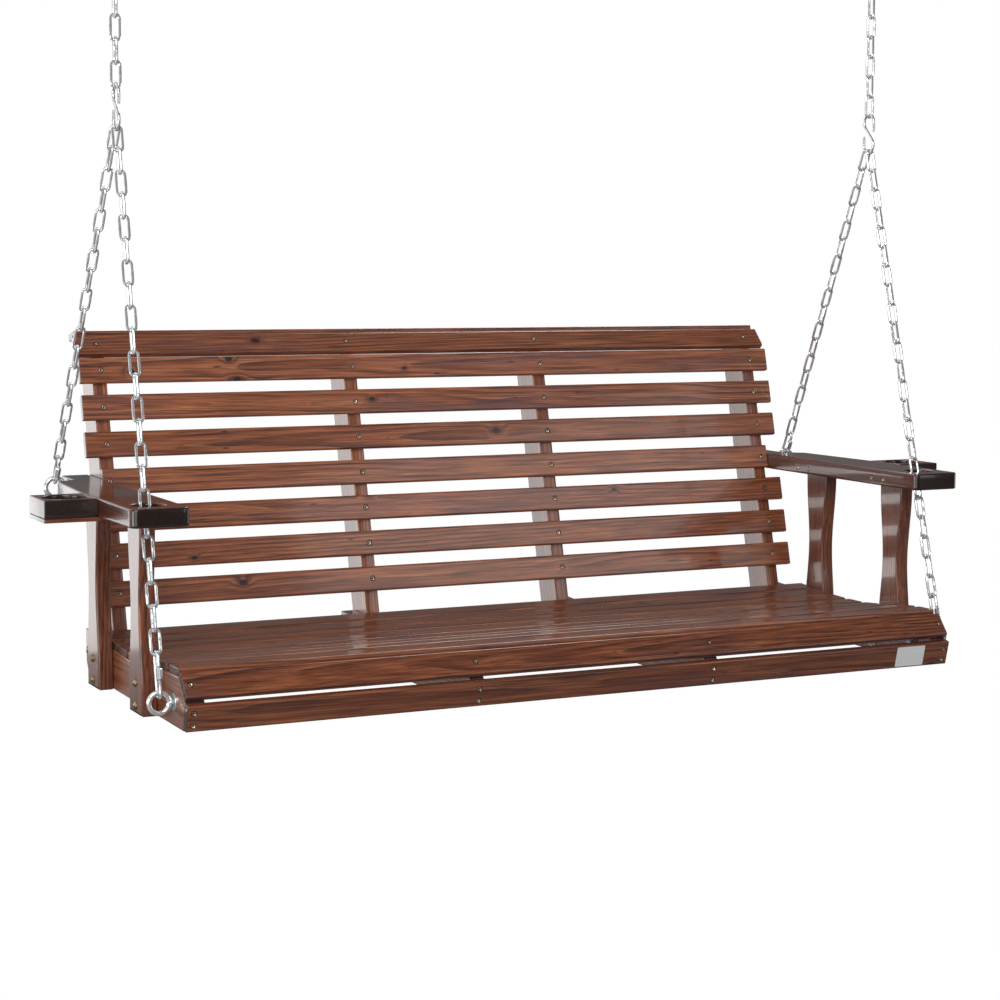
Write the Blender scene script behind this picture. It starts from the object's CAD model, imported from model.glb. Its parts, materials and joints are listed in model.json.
"""Slatted porch swing on two chains: its boards, plates, chains and hardware as surfaces.

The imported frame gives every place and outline. This script gives each piece its eased
edges, screw wells, wire bends and finishes. Lengths are in metres.
"""
import json
import logging
import math
from collections.abc import Callable
from dataclasses import dataclass, field, replace
from enum import Enum
from functools import partial

import bpy
import numpy as np
from mathutils import Matrix, Vector
from mathutils.geometry import tessellate_polygon

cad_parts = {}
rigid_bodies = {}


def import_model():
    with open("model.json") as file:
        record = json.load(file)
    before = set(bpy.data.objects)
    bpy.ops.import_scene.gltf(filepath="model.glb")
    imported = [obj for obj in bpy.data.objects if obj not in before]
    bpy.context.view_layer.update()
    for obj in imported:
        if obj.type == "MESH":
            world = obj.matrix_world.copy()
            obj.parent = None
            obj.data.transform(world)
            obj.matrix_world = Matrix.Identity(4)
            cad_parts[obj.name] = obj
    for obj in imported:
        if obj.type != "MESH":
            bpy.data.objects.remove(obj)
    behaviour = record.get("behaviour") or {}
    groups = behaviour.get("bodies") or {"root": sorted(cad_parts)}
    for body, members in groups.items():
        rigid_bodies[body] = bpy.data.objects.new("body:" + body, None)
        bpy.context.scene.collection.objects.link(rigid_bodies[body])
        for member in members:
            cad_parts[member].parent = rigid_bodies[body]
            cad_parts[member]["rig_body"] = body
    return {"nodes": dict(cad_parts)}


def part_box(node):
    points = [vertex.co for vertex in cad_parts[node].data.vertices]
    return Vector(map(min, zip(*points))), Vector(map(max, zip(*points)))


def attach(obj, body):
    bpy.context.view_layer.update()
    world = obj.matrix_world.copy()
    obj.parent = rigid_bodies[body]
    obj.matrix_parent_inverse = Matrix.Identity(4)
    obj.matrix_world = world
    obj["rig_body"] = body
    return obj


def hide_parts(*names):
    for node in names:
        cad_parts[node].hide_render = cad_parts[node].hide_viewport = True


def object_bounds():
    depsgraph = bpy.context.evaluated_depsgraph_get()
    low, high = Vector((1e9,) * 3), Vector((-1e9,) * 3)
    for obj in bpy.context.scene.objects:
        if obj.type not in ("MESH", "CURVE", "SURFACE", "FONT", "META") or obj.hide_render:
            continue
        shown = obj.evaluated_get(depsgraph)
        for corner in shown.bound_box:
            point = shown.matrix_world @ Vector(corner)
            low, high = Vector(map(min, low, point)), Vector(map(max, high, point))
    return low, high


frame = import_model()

CAD_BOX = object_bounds()
MM = 0.001
Array = np.ndarray
Colour = tuple[float, float, float, float]
Socket = bpy.types.NodeSocket
Feed = Socket | float | tuple
log = logging.getLogger("porch_swing")


# ---- places and shells -------------------------------------------------------


@dataclass(frozen=True)
class Place:
    """A piece's own axes: an origin, and one unit vector a row for local x, y and z."""

    origin: Array
    axes: Array

    def out(self, local: Array) -> Array:
        """Local points as points of the frame."""
        return self.origin + local @ self.axes

    def into(self, points: Array) -> Array:
        """Points of the frame as local points."""
        return (points - self.origin) @ self.axes.T


class Lay(Enum):
    """Which way a flat plate lies: its local x, y and z among the frame's axes."""

    UPRIGHT = ((0, 1, 0), (0, 0, 1), (1, 0, 0))
    LEVEL = ((1, 0, 0), (0, 1, 0), (0, 0, 1))

    def place(self) -> Place:
        """The lay as a place at the frame's origin."""
        return Place(np.zeros(3), np.array(self.value, float))


@dataclass
class Shell:
    """A closed surface: points, quads, larger or smaller faces, and a depth of recess."""

    points: Array
    quads: Array
    caps: list[Array] = field(default_factory=list)
    recess: Array | None = None

    def __post_init__(self) -> None:
        """Gives every point a recess of nought where none is given."""
        if self.recess is None:
            self.recess = np.zeros(len(self.points))

    def at(self, place: Place) -> "Shell":
        """The same surface carried from local axes to its place in the frame."""
        return Shell(place.out(self.points), self.quads, self.caps, self.recess)


def joined(shells: list[Shell]) -> Shell:
    """Lays several shells side by side in one.

    Args:
        shells: closed surfaces, which keep their own points.

    Returns:
        One shell whose faces count on from one surface to the next.
    """
    starts = np.cumsum([0] + [len(s.points) for s in shells])
    return Shell(
        np.concatenate([s.points for s in shells]),
        np.concatenate([s.quads + start for s, start in zip(shells, starts)]),
        [cap + start for s, start in zip(shells, starts) for cap in s.caps],
        np.concatenate([s.recess for s in shells]),
    )


def ring_quads(rings: int, around: int, closed: bool = False) -> Array:
    """Quads between neighbouring rings of points that follow each other.

    Point (r, c) has the number r * around + c. A quad joins (r, c), (r, c + 1),
    (r + 1, c + 1) and (r + 1, c), and faces outwards where c turns anticlockwise
    as seen from ahead.

    Args:
        rings: how many rings there are.
        around: points on each ring.
        closed: whether the last ring runs on into the first.

    Returns:
        Corner numbers, four a row.
    """
    row = np.arange(rings if closed else rings - 1)[:, None] * around
    after = (row + around) % (rings * around)
    col = np.arange(around)[None]
    beside = (col + 1) % around
    return np.stack([row + col, row + beside, after + beside, after + col], -1).reshape(-1, 4)


def tube(rings: Array, closed: bool = False) -> Shell:
    """Skins rings of points that follow each other.

    Args:
        rings: a (rings, around, 3) grid of points.
        closed: whether the last ring runs on into the first.

    Returns:
        The skin, with a flat face on each open end.
    """
    count, around = rings.shape[:2]
    ends = np.arange(around)
    caps = [] if closed else [ends[::-1], ends + (count - 1) * around]
    return Shell(rings.reshape(-1, 3), ring_quads(count, around, closed), caps)


def turned(profile: Array, sides: int) -> Shell:
    """Carries a profile round local z.

    The point of profile (r, h) at the angle a is (r cos a, r sin a, h).

    Args:
        profile: radius and height, from the bottom up.
        sides: flats or steps round the axis.

    Returns:
        The turned shell, with flat faces on its two ends.
    """
    angle = np.arange(sides) * 2 * np.pi / sides
    radius, height = np.asarray(profile, float).T[:, :, None]
    level = np.broadcast_to(height, (len(height), sides))
    return tube(np.stack([radius * np.cos(angle), radius * np.sin(angle), level], -1))


def unit(rows: Array) -> Array:
    """Each row divided by its length."""
    return rows / np.linalg.norm(rows, axis=-1, keepdims=True).clip(1e-12)


def swept(path: Array, flat: Array, radius: Array | float, sides: int, closed: bool) -> Shell:
    """Carries a circle along a plane path.

    At each point of the path, n = flat x tangent, and the ring is the point plus
    radius times (n cos a + flat sin a).

    Args:
        path: centre-line points.
        flat: unit normal of the plane that the path lies in.
        radius: wire radius, one or one for each point.
        sides: steps round the wire.
        closed: whether the path is a loop.

    Returns:
        The wire's shell.
    """
    ahead = np.roll(path, -1, 0) - path
    if not closed:
        ahead[-1] = ahead[-2]
    back = np.roll(ahead, 1, 0)
    if not closed:
        back[0] = ahead[0]
    tangent = unit(unit(ahead) + unit(back))
    beside = np.cross(flat, tangent)
    angle = np.arange(sides)[None, :, None] * 2 * np.pi / sides
    wide = np.broadcast_to(np.asarray(radius, float), len(path))[:, None, None]
    around = beside[:, None] * np.cos(angle) + np.asarray(flat, float) * np.sin(angle)
    return tube(path[:, None] + wide * around, closed)


def arc(centre: tuple[float, float], radius: float, start: float, end: float, steps: int) -> Array:
    """Points of a circle's arc in a plane, both ends included, angles in degrees."""
    angle = np.radians(np.linspace(start, end, steps + 1))
    return np.stack([centre[0] + radius * np.cos(angle), centre[1] + radius * np.sin(angle)], 1)


# ---- reading the frame -------------------------------------------------------


def cad_mesh(node: str) -> tuple[Array, Array]:
    """Corners and triangles of a CAD node, with corners at one place made one.

    Args:
        node: the node's name.

    Returns:
        Points, three coordinates a row, and triangles, three corner numbers a row.
    """
    mesh = frame["nodes"][node].data
    corners = np.empty(len(mesh.vertices) * 3, np.float32)
    mesh.vertices.foreach_get("co", corners)
    picks = np.empty(len(mesh.loops), np.int32)
    mesh.loops.foreach_get("vertex_index", picks)
    rounded = corners.reshape(-1, 3).astype(float).round(6)
    points, same = np.unique(rounded, axis=0, return_inverse=True)
    return points, same.reshape(-1)[picks].reshape(-1, 3)


def solids(node: str) -> list[Array]:
    """Corner points of each separate solid of a CAD node.

    Every corner starts with its own number. The lowest number on a triangle spreads
    to its corners, and on from there, until no number changes.

    Args:
        node: the node's name.

    Returns:
        One array of points for each solid, from -X to +X.
    """
    points, triangles = cad_mesh(node)
    label = np.arange(len(points))
    while True:
        lowest = label.copy()
        np.minimum.at(lowest, triangles.ravel(), label[triangles].min(1).repeat(3))
        lowest = lowest[lowest]
        if (lowest == label).all():
            return [points[label == first] for first in np.unique(label)]
        label = lowest


def boxed(points: Array) -> tuple[Array, Array]:
    """Lowest and highest corner of some points."""
    return points.min(0), points.max(0)


def cad_box(node: str) -> tuple[Array, Array]:
    """Lowest and highest corner of a CAD node."""
    low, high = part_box(node)
    return np.array(low), np.array(high)


def side_of(low: Array) -> float:
    """1 for what lies on the right of the frame's middle, -1 for what lies on the left."""
    return 1.0 if low[0] > 0 else -1.0


def snug_place(points: Array) -> tuple[Place, Array]:
    """Place and size of a solid along its own axes, which are those of its spread.

    Args:
        points: the solid's corners.

    Returns:
        A place at its middle with the thinnest way as local y and the longest as
        local z, pointing up, and its extents along local x, y and z.
    """
    spread = points - points.mean(0)
    turn = np.linalg.eigh(spread.T @ spread)[1].T
    longest = turn[2] * (1 if turn[2][2] >= 0 else -1)
    middling = turn[1] * (1 if turn[1] @ (1, 0.6, 0) >= 0 else -1)
    axes = np.array([middling, np.cross(longest, middling), longest])
    low, high = boxed(points @ axes.T)
    return Place((low + high) / 2 @ axes, axes), high - low


OUTER_SIDE = np.array([0, -1, 1])
FACING_DOWN = np.array([(1, 0, 0), (0, -1, 0), (0, 0, -1)], float)


def board_place(node: str) -> tuple[Place, Array]:
    """Place and size of a board that runs along X, turned in any way about it.

    The outer face is square to the direction that most of the board's area faces:
    the strongest axis of the sum of area times normal times normal.

    Args:
        node: the board's name.

    Returns:
        A place in the middle of the outer face's lower or front edge, with local x
        along the board, y across it and z out of the face, and the three extents.
    """
    points, triangles = cad_mesh(node)
    first, second, third = points[triangles].transpose(1, 0, 2)
    facing = np.cross(second - first, third - first)
    through = np.linalg.eigh(facing.T @ unit(facing))[1][:, 2]
    through = unit(through * (0, 1, 1)) * np.sign(through @ OUTER_SIDE)
    axes = np.array([(1, 0, 0), np.cross(through, (1, 0, 0)), through])
    low, high = boxed(points @ axes.T)
    edge = np.array([(low[0] + high[0]) / 2, low[1], high[2]])
    return Place(edge @ axes, axes), high - low


SMALL_HOLE = 20 * MM
SAME_LEVEL = 0.02 * MM
STRAIGHT = math.radians(0.3)


def turns(loop: Array) -> Array:
    """Angle that a closed outline turns through at each corner.

    It is the arctangent of the cross and the dot product of two sides' directions.

    Args:
        loop: closed outline.

    Returns:
        Angles in radians, positive where the outline turns left.
    """
    ahead = unit(np.roll(loop, -1, 0) - loop)
    back = np.roll(ahead, 1, 0)
    cross = back[:, 0] * ahead[:, 1] - back[:, 1] * ahead[:, 0]
    return np.arctan2(cross, (back * ahead).sum(1))


def face_loops(node: str, place: Place) -> tuple[list[Array], float, float]:
    """Outlines of a plate's top face, read from the CAD node.

    The border is made of the edges that only one triangle of the face has. Holes for
    screws and bolts, which their heads cover, are left out.

    Args:
        node: the plate's name.
        place: axes whose local z is square to the plate.

    Returns:
        Closed outlines in local x and y, the plate's own first and anticlockwise, its
        holes clockwise, then the lowest and highest local z.
    """
    points, triangles = cad_mesh(node)
    local = place.into(points)
    low, high = boxed(local)
    level = local[triangles][:, :, 2].min(1) > high[2] - SAME_LEVEL
    edges = triangles[level][:, [[0, 1], [1, 2], [2, 0]]].reshape(-1, 2)
    code, mirrored = edges @ [len(points), 1], edges @ [1, len(points)]
    following = dict(edges[~np.isin(code, mirrored)].tolist())
    loops = []
    while following:
        first, here = following.popitem()
        walk = [first]
        while here != first:
            walk.append(here)
            here = following.pop(here)
        loop = local[walk, :2]
        loops.append(loop[np.abs(turns(loop)) > STRAIGHT])
    wide = [loop for loop in loops if np.ptp(loop, axis=0).max() > SMALL_HOLE]
    wide.sort(key=lambda loop: -np.ptp(loop, axis=0).max())
    return wide, float(low[2]), float(high[2])


# ---- outlines and plates -----------------------------------------------------


SHARP = math.radians(25)


def eased(loop: Array, radius: float, steps: int = 4) -> Array:
    """Rounds an outline's sharp corners.

    A corner p becomes the curve (1-t)^2 a + 2t(1-t) p + t^2 b, where a and b lie
    back and ahead of p at the distance where a circle of that radius would touch.

    Args:
        loop: closed outline.
        radius: radius of the rounding.
        steps: pieces of each rounding.

    Returns:
        The outline with every sharp corner replaced by a short curve.
    """
    ahead, back = np.roll(loop, -1, 0) - loop, loop - np.roll(loop, 1, 0)
    angle = np.abs(turns(loop))
    room = 0.4 * np.minimum(np.linalg.norm(ahead, axis=1), np.linalg.norm(back, axis=1))
    reach = np.minimum(radius * np.tan(angle / 2), room)[:, None]
    share = np.linspace(0, 1, steps + 1)[None, :, None]
    start, end = loop - unit(back) * reach, loop + unit(ahead) * reach
    curve = (1 - share) ** 2 * start[:, None] + share**2 * end[:, None]
    curve = curve + 2 * share * (1 - share) * loop[:, None]
    sharp = angle > SHARP
    curve[~sharp, 0] = loop[~sharp]
    return curve[sharp[:, None] | (np.arange(steps + 1) == 0)[None]]


WELL_REACH = np.array([0, 1.5, 3.0, 4.1, 4.8, 5.3, 5.9, 7.0]) * MM
WELL_DEPTH = np.array([2.4, 2.4, 2.4, 2.3, 0.6, 0.1, 0, 0]) * MM
WELL_STEPS = np.concatenate([-WELL_REACH[:0:-1], WELL_REACH])
ON_FACE = 1 * MM


def with_stations(loop: Array, spots: Array) -> Array:
    """Adds corners to a closed outline on both sides of each spot on it.

    Places are measured along the outline and read back by interpolation.

    Args:
        loop: closed outline.
        spots: points on the outline, one a row.

    Returns:
        The same outline with the extra corners on its straight stretches.
    """
    ring = np.vstack([loop, loop[:1]])
    stretch = np.diff(ring, axis=0)
    length = np.linalg.norm(stretch, axis=1)
    run = np.concatenate([[0], np.cumsum(length)])
    share = ((spots[:, None] - loop) * stretch).sum(2) / length**2
    share = share.clip(0, 1)
    foot = loop + share[:, :, None] * stretch
    near = np.linalg.norm(foot - spots[:, None], axis=2).argmin(1)
    middle = run[near] + share[np.arange(len(spots)), near] * length[near]
    every = np.concatenate([run[:-1], (middle[:, None] + WELL_STEPS).ravel()])
    every = np.unique(every.round(7))
    return np.stack([np.interp(every, run, ring[:, k]) for k in (0, 1)], 1)


def sink_wells(shell: Shell, wells: list[Place]) -> Shell:
    """Sinks round screw wells into faces that have a fine square patch at each.

    With a and b the distances from a well's middle, a point at c = max(|a|, |b|) moves
    to the circle of radius c, less and less towards the patch's border, and sinks by
    the well's depth at c.

    Args:
        shell: surface whose grid has corners at the well's steps.
        wells: places on the faces, with local z pointing out.

    Returns:
        The shell with the wells, their recess marked by depth.
    """
    points, recess = shell.points.copy(), shell.recess.copy()
    for well in wells:
        local = well.into(points)
        across = np.abs(local[:, :2]).max(1)
        near = (across < WELL_REACH[-1]) & (np.abs(local[:, 2]) < ON_FACE)
        round_off = across / np.linalg.norm(local[:, :2], axis=1).clip(1e-9) - 1
        fade = np.interp(across, WELL_REACH[-2:], [1, 0])
        local[:, :2] *= 1 + (round_off * fade)[:, None]
        deep = np.interp(across, WELL_REACH, WELL_DEPTH)
        local[:, 2] -= deep
        points[near] = well.out(local[near])
        recess[near] = np.maximum(recess[near], (deep[near] / WELL_DEPTH[0]) ** 0.4)
    return Shell(points, shell.quads, shell.caps, recess)


SUPPORT = 0.5 * MM


def edge_profile(thickness: float, radius: float, middle: Array | None = None) -> Array:
    """Inset and height up the side of a plate whose two rims are rounded.

    A quarter circle of four steps turns out of each face: inset r(1 - sin a) and
    height r(1 - cos a). One more ring just inside keeps the faces flat.

    Args:
        thickness: height of the side.
        radius: radius of the rims.
        middle: heights of further rings between the rims.

    Returns:
        Rows of inset and height, from the lower face to the upper.
    """
    angle = np.linspace(0, np.pi / 2, 5)
    rim = np.stack([radius * (1 - np.sin(angle)), radius * (1 - np.cos(angle))], 1)
    rise = np.vstack([[radius + SUPPORT, 0], rim])
    between = np.zeros((0, 2)) if middle is None else np.stack([middle * 0, middle], 1)
    return np.vstack([rise, between, rise[::-1] * (1, -1) + (0, thickness)])


def plate(loops: list[Array], low: float, profile: Array) -> Shell:
    """A flat plate with rounded rims, round its outside and its holes.

    Each corner moves inwards by its inset along (m + n) / (1 + m.n), with m and n the
    inward normals of the two sides that meet there. Both faces are filled with
    triangles.

    Args:
        loops: outlines as face_loops gives them.
        low: local z of the lower face.
        profile: rows of inset and height.

    Returns:
        The plate in local axes.
    """
    sides, rims, start = [], [], 0
    for loop in loops:
        ahead = unit(np.roll(loop, -1, 0) - loop)
        inward = np.stack([-ahead[:, 1], ahead[:, 0]], 1)
        before = np.roll(inward, 1, 0)
        mitre = (before + inward) / (1 + (before * inward).sum(1, keepdims=True)).clip(0.3)
        flat = loop + profile[:, :1, None] * mitre
        level = np.broadcast_to(low + profile[:, 1:], flat.shape[:2])[:, :, None]
        grid = np.concatenate([flat, level], 2)
        count, around = grid.shape[:2]
        sides.append(Shell(grid.reshape(-1, 3), ring_quads(count, around)))
        rims.append(start + np.arange(around) + [[0], [(count - 1) * around]])
        start += count * around
    side = joined(sides)
    caps = []
    for end, wanted in ((0, -1), (1, 1)):
        corners = [rim[end] for rim in rims]
        fill = tessellate_polygon([[Vector(p) for p in side.points[c]] for c in corners])
        picks = np.concatenate(corners)[np.array(fill)]
        first, second, third = side.points[picks, :2].transpose(1, 0, 2)
        area = np.cross(second - first, third - first)
        picks[area * wanted < 0] = picks[area * wanted < 0][:, ::-1]
        caps += list(picks[np.abs(area) > 1e-12])
    return Shell(side.points, side.quads, side.caps + caps)


# ---- finishes ----------------------------------------------------------------


class Wiring:
    """Adds shader nodes to a tree and links them as they come."""

    def __init__(self, tree: bpy.types.NodeTree) -> None:
        """Starts from an empty tree."""
        self.tree = tree
        tree.nodes.clear()

    def add(self, kind: str, feeds: dict[str | int, Feed], **settings: object) -> bpy.types.Node:
        """Adds one node.

        Args:
            kind: the node's type without its common prefix.
            feeds: what goes into each input, a socket or a plain value.
            **settings: the node's own options.

        Returns:
            The new node.
        """
        node = self.tree.nodes.new(kind if kind.startswith("Node") else "ShaderNode" + kind)
        for name, value in settings.items():
            setattr(node, name, value)
        for name, value in feeds.items():
            if isinstance(value, Socket):
                self.tree.links.new(value, node.inputs[name])
            else:
                node.inputs[name].default_value = value
        return node

    def math(self, operation: str, *values: Feed) -> Socket:
        """A calculation with numbers."""
        return self.add("Math", dict(enumerate(values)), operation=operation).outputs[0]

    def times(self, first: Feed, second: Feed) -> Socket:
        """The product of two numbers."""
        return self.math("MULTIPLY", first, second)

    def vector(self, operation: str, *values: Feed) -> Socket:
        """A calculation with vectors."""
        node = self.add("VectorMath", dict(enumerate(values)), operation=operation)
        return node.outputs["Value" if operation == "LENGTH" else "Vector"]

    def noise(self, at: Feed, stretch: tuple, detail: float = 2, shift: tuple | None = None,
              out: str = "Fac") -> Socket:
        """Cloudy noise.

        Args:
            at: the points at which it is read.
            stretch: how many clouds a metre it has along each axis.
            detail: how many times finer clouds are laid over it.
            shift: how far the points are moved first, if at all.
            out: which of the noise's outputs is taken.

        Returns:
            The output.
        """
        if shift:
            at = self.vector("ADD", at, shift)
        where = self.vector("MULTIPLY", at, stretch)
        return self.add("TexNoise", {"Vector": where, "Scale": 1.0, "Detail": detail}).outputs[out]

    def ramp(self, value: Feed, low: float, high: float, *ends: float) -> Socket:
        """A smooth step as a value goes from low to high.

        Args:
            value: the value.
            low: where the step starts.
            high: where it ends.
            *ends: what it starts and ends with, if not nought and one.

        Returns:
            The step.
        """
        start, end = ends or (0.0, 1.0)
        feeds = {"Value": value, "From Min": low, "From Max": high, "To Min": start, "To Max": end}
        return self.add("MapRange", feeds, interpolation_type="SMOOTHSTEP").outputs["Result"]

    def mix(self, share: Feed, first: Feed, second: Feed, how: str = "MIX") -> Socket:
        """The second colour over the first by a share."""
        feeds = {0: share, 6: first, 7: second}
        return self.add("Mix", feeds, data_type="RGBA", blend_type=how).outputs[2]

    def surface(self, height: Socket, strength: float, deep: float, feeds: dict) -> None:
        """Ends a material with its surface.

        Args:
            height: the relief, from nought to one.
            strength: how much of the relief shows.
            deep: how deep the relief is.
            feeds: the surface's colour, roughness and so on.
        """
        bump = self.add("Bump", {"Height": height, "Strength": strength, "Distance": deep})
        shader = self.add("BsdfPrincipled", {**feeds, "Normal": bump.outputs[0]})
        self.add("OutputMaterial", {"Surface": shader.outputs[0]})


@dataclass(frozen=True)
class Grain:
    """How a piece was cut and stained.

    Its axes lie along, across and through the grain, its turn picks its cut, and its
    tone is how light the stain came out.
    """

    place: Place
    turn: int
    tone: float = 1.0


@dataclass(frozen=True)
class StainedWood:
    """Red-brown stain on straight-grained softwood, under a satin clear coat."""

    early: Colour = (0.300, 0.098, 0.042, 1)
    mid: Colour = (0.215, 0.064, 0.028, 1)
    late: Colour = (0.085, 0.028, 0.020, 1)
    line: Colour = (0.500, 0.215, 0.105, 1)
    plum: Colour = (0.150, 0.060, 0.058, 1)
    glow: Colour = (0.380, 0.128, 0.045, 1)
    knot: Colour = (0.022, 0.012, 0.011, 1)
    end: Colour = (0.022, 0.018, 0.020, 1)
    ring_gap: float = 7 * MM
    slot: str = "stained_wood"

    def knots(self, w: Wiring, at: Socket) -> tuple[Socket, Socket, Socket]:
        """Knots, one in each of a few cells of a coarse net.

        Args:
            w: the group's wiring.
            at: local points.

        Returns:
            The knots' dark cores, the darker wood round them, and how far the rings
            are lifted to flow round them.
        """
        net = w.vector("MULTIPLY", at, (5.2, 8.0, 0))
        cell = w.add("TexVoronoi", {"Vector": net, "Scale": 1.0}, voronoi_dimensions="2D")
        rare = w.add("SeparateColor", {"Color": cell.outputs["Color"]}).outputs[0]
        present = w.math("GREATER_THAN", rare, 0.6)
        size = w.ramp(rare, 0.6, 1.0, 0.014, 0.052)
        away = w.math("DIVIDE", cell.outputs["Distance"], size)
        core = w.times(w.ramp(away, 0.7, 1.15, 1, 0), present)
        halo = w.times(w.ramp(away, 0.9, 2.8, 1, 0), present)
        flow = w.times(w.ramp(away, 0.4, 4.5, 1, 0), present)
        return core, halo, w.times(w.times(flow, flow), w.times(size, 0.16))

    def rings(self, w: Wiring, at: Socket, lift: Socket) -> tuple[Socket, Socket, Socket]:
        """Growth rings: circles about a pith that lies along local x.

        The pith wanders slowly and the rings ripple a little. Each ring runs from
        red-brown early wood to dark late wood and a thin pale line that ends sharply.

        Args:
            w: the group's wiring.
            at: local points.
            lift: what is added to the rings' radius.

        Returns:
            The rings' colour without the pale line, then how dark and how pale it gets.
        """
        bent = at
        for stretch, reach in (((1.3, 6, 6), (0, 0.024, 0.036)), ((9, 60, 60), (0, 0.003, 0.003))):
            cloud = w.vector("SUBTRACT", w.noise(at, stretch, out="Color"), (0.5,) * 3)
            bent = w.vector("ADD", bent, w.vector("MULTIPLY", cloud, reach))
        radius = w.vector("LENGTH", w.vector("MULTIPLY", bent, (0, 1, 1)))
        radius = w.math("ADD", radius, lift)
        patch = w.noise(at, (2.4, 15, 15), 3)
        turn = w.math("ADD", w.math("DIVIDE", radius, self.ring_gap), w.times(patch, 1.1))
        ring = w.math("FRACT", turn)
        strength = w.noise(at, (2.6, 30, 30), shift=(7, 3, 1))
        dark = w.times(w.ramp(ring, 0.25, 0.8), w.ramp(ring, 0.8, 0.9, 1, 0))
        dark = w.times(dark, w.ramp(strength, 0.36, 0.66, 0.05, 0.8))
        pale = w.times(w.ramp(ring, 0.78, 0.9), w.ramp(ring, 0.93, 1.0, 1, 0))
        pale = w.times(pale, w.ramp(strength, 0.4, 0.62, 0.04, 0.42))
        colour = w.mix(w.ramp(ring, 0.0, 0.7), self.early, self.mid)
        return w.mix(dark, colour, self.late), dark, pale

    def fibres(self, w: Wiring, at: Socket) -> tuple[Socket, Socket, Socket]:
        """Fibres, streaks, threads and thin dark pores along the grain.

        Args:
            w: the group's wiring.
            at: local points.

        Returns:
            The grey that the colour is multiplied by, the fibres and the streaks.
        """
        fibre = w.noise(at, (34, 1500, 1500))
        streak = w.noise(at, (6, 240, 240), 4, (5, 5, 5))
        thread = w.noise(at, (9, 460, 460), 4, (2, 8, 6))
        pore = w.noise(at, (9, 520, 520), 1, (9, 1, 3))
        shade = w.times(w.ramp(fibre, 0.2, 0.8, 0.88, 1.1), w.ramp(streak, 0.3, 0.7, 0.86, 1.12))
        shade = w.times(shade, w.ramp(thread, 0.34, 0.66, 0.66, 1.3))
        shade = w.times(shade, w.ramp(pore, 0.6, 0.72, 1, 0.5))
        grey = w.add("CombineColor", dict.fromkeys(range(3), shade)).outputs[0]
        return grey, fibre, streak

    def flecks(self, w: Wiring, at: Socket) -> Socket:
        """Short dark flecks, one in each of a few cells of a fine net.

        Args:
            w: the group's wiring.
            at: local points.

        Returns:
            One inside a fleck and nought elsewhere.
        """
        net = w.vector("MULTIPLY", at, (24, 95, 95))
        cell = w.add("TexVoronoi", {"Vector": net, "Scale": 1.0}).outputs
        rare = w.add("SeparateColor", {"Color": cell["Color"]}).outputs[1]
        present = w.math("GREATER_THAN", rare, 0.95)
        return w.times(w.ramp(cell["Distance"], 0.08, 0.24, 1, 0), present)

    def figure(self) -> bpy.types.NodeTree:
        """The wood's figure as a group, made once.

        Returns:
            A group that turns local points into colour, roughness and height.
        """
        if "stained_wood_figure" in bpy.data.node_groups:
            return bpy.data.node_groups["stained_wood_figure"]
        tree = bpy.data.node_groups.new("stained_wood_figure", "ShaderNodeTree")
        for name, kind in (("Vector", "Vector"), ("Normal", "Vector"), ("Tone", "Color")):
            tree.interface.new_socket(name, in_out="INPUT", socket_type="NodeSocket" + kind)
        for name, kind in (("Color", "Color"), ("Roughness", "Float"), ("Height", "Float")):
            tree.interface.new_socket(name, in_out="OUTPUT", socket_type="NodeSocket" + kind)
        w = Wiring(tree)
        given = w.add("NodeGroupInput", {}).outputs
        at = given["Vector"]
        core, halo, lift = self.knots(w, at)
        colour, dark, pale = self.rings(w, at, lift)

        # the stain lies darker and brighter in long clouds
        cloud = w.noise(at, (2.6, 17, 17), 4, (3, 9, 4))
        colour = w.mix(w.ramp(cloud, 0.5, 0.72, 0, 0.7), colour, self.plum)
        sun = w.noise(at, (4.5, 42, 42), 3, (13, 2, 8))
        colour = w.mix(w.ramp(sun, 0.54, 0.76, 0, 0.6), colour, self.glow)
        colour = w.mix(pale, colour, self.line)

        grey, fibre, streak = self.fibres(w, at)
        colour = w.mix(1.0, colour, grey, "MULTIPLY")
        fleck = self.flecks(w, at)
        colour = w.mix(w.times(fleck, 0.8), colour, self.knot)
        colour = w.mix(w.times(halo, 0.5), colour, self.late)
        colour = w.mix(w.times(core, 0.94), colour, self.knot)

        # end grain drinks more stain, and so do the screw wells; pieces differ in tone
        facing = w.add("SeparateXYZ", {0: given["Normal"]}).outputs[0]
        end = w.ramp(w.math("ABSOLUTE", facing), 0.35, 0.75)
        colour = w.mix(w.times(end, 0.9), colour, self.end)
        well = w.add("Attribute", {}, attribute_name="recess").outputs["Fac"]
        colour = w.mix(w.times(well, 0.9), colour, self.knot)
        colour = w.mix(1.0, colour, given["Tone"], "MULTIPLY")

        rough = w.math("SUBTRACT", w.ramp(streak, 0.2, 0.8, 0.26, 0.34), w.times(end, 0.06))
        height = w.math("ADD", w.times(fibre, 0.5), w.times(streak, 0.7))
        for dip in (dark, fleck):
            height = w.math("SUBTRACT", height, w.times(dip, 0.5))
        w.add("NodeGroupOutput", {"Color": colour, "Roughness": rough, "Height": height})
        return tree

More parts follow.
